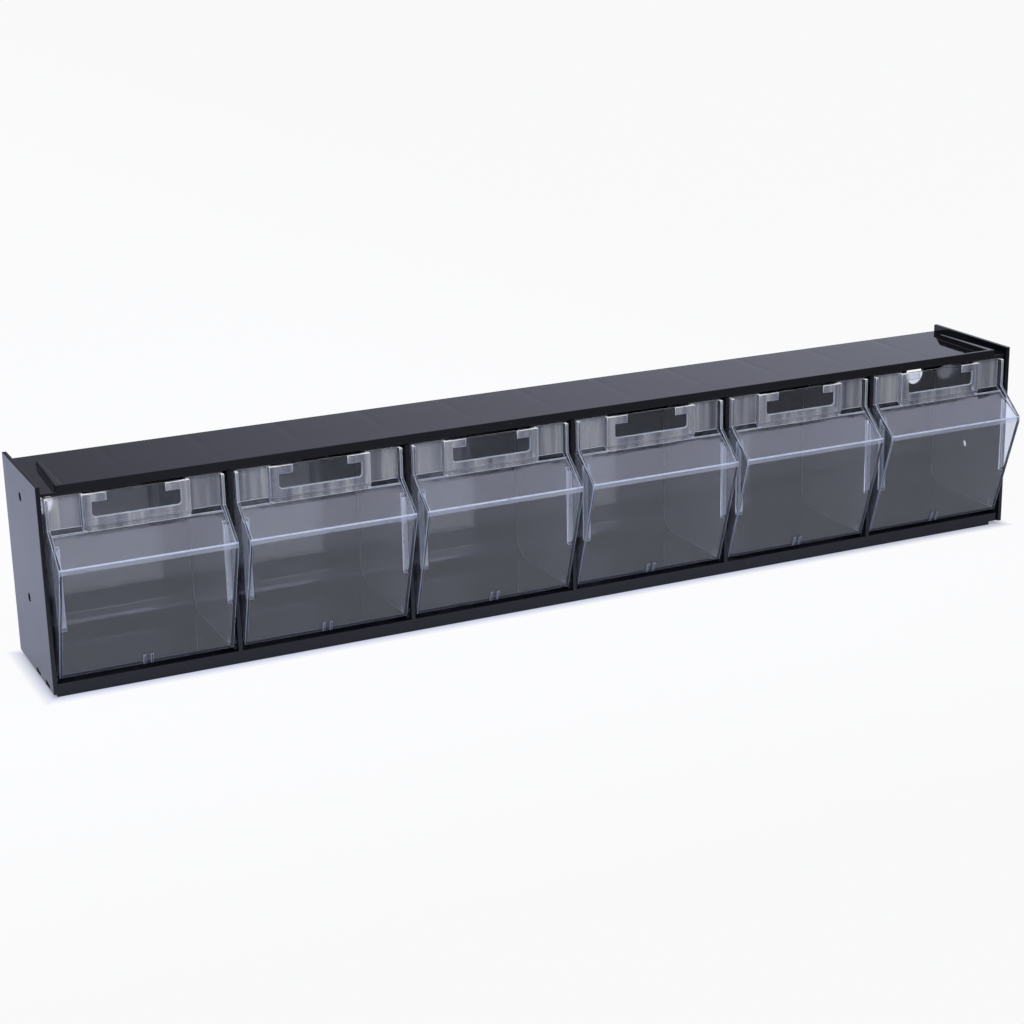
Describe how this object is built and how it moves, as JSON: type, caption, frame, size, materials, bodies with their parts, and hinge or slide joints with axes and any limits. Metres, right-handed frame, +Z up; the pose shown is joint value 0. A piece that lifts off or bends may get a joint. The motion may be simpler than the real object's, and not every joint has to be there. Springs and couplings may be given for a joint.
{
  "type": "tilt bin organizer",
  "caption": "Long low black frame with clear plastic bins side by side; each bin tips forward on stub pins at its lower front edge and carries a label holder.",
  "frame": {"origin": "under the middle of the whole object, on the surface it stands on", "axes": "+X along the row of bins, +Y from the front to the back, +Z up"},
  "size_m": [0.6, 0.092, 0.114],
  "materials": {
    "frame_black": "glossy moulded",
    "bin_clear": "clear moulded"
  },
  "bodies": {
    "frame": {"top_panel": "frame_black", "bottom_panel": "frame_black", "back_panel": "frame_black", "left_end_plate": "frame_black", "right_end_plate": "frame_black", "divider_1": "frame_black", "divider_2": "frame_black", "divider_3": "frame_black", "divider_4": "frame_black", "divider_5": "frame_black"},
    "bin_1": {"bin_1": "bin_clear"},
    "bin_2": {"bin_2": "bin_clear"},
    "bin_3": {"bin_3": "bin_clear"},
    "bin_4": {"bin_4": "bin_clear"},
    "bin_5": {"bin_5": "bin_clear"},
    "bin_6": {"bin_6": "bin_clear"}
  },
  "joints": [
    {"name": "bin_1_tilt", "type": "hinge", "parent": "frame", "child": "bin_1", "pos_m": [-0.249, -0.021, 0.0136], "axis": [1, 0, 0], "range_deg": [0, 32]},
    {"name": "bin_2_tilt", "type": "hinge", "parent": "frame", "child": "bin_2", "pos_m": [-0.1494, -0.021, 0.0136], "axis": [1, 0, 0], "range_deg": [0, 32]},
    {"name": "bin_3_tilt", "type": "hinge", "parent": "frame", "child": "bin_3", "pos_m": [-0.0498, -0.021, 0.0136], "axis": [1, 0, 0], "range_deg": [0, 32]},
    {"name": "bin_4_tilt", "type": "hinge", "parent": "frame", "child": "bin_4", "pos_m": [0.0498, -0.021, 0.0136], "axis": [1, 0, 0], "range_deg": [0, 32]},
    {"name": "bin_5_tilt", "type": "hinge", "parent": "frame", "child": "bin_5", "pos_m": [0.1494, -0.021, 0.0136], "axis": [1, 0, 0], "range_deg": [0, 32]},
    {"name": "bin_6_tilt", "type": "hinge", "parent": "frame", "child": "bin_6", "pos_m": [0.249, -0.021, 0.0136], "axis": [1, 0, 0], "range_deg": [0, 32]}
  ]
}
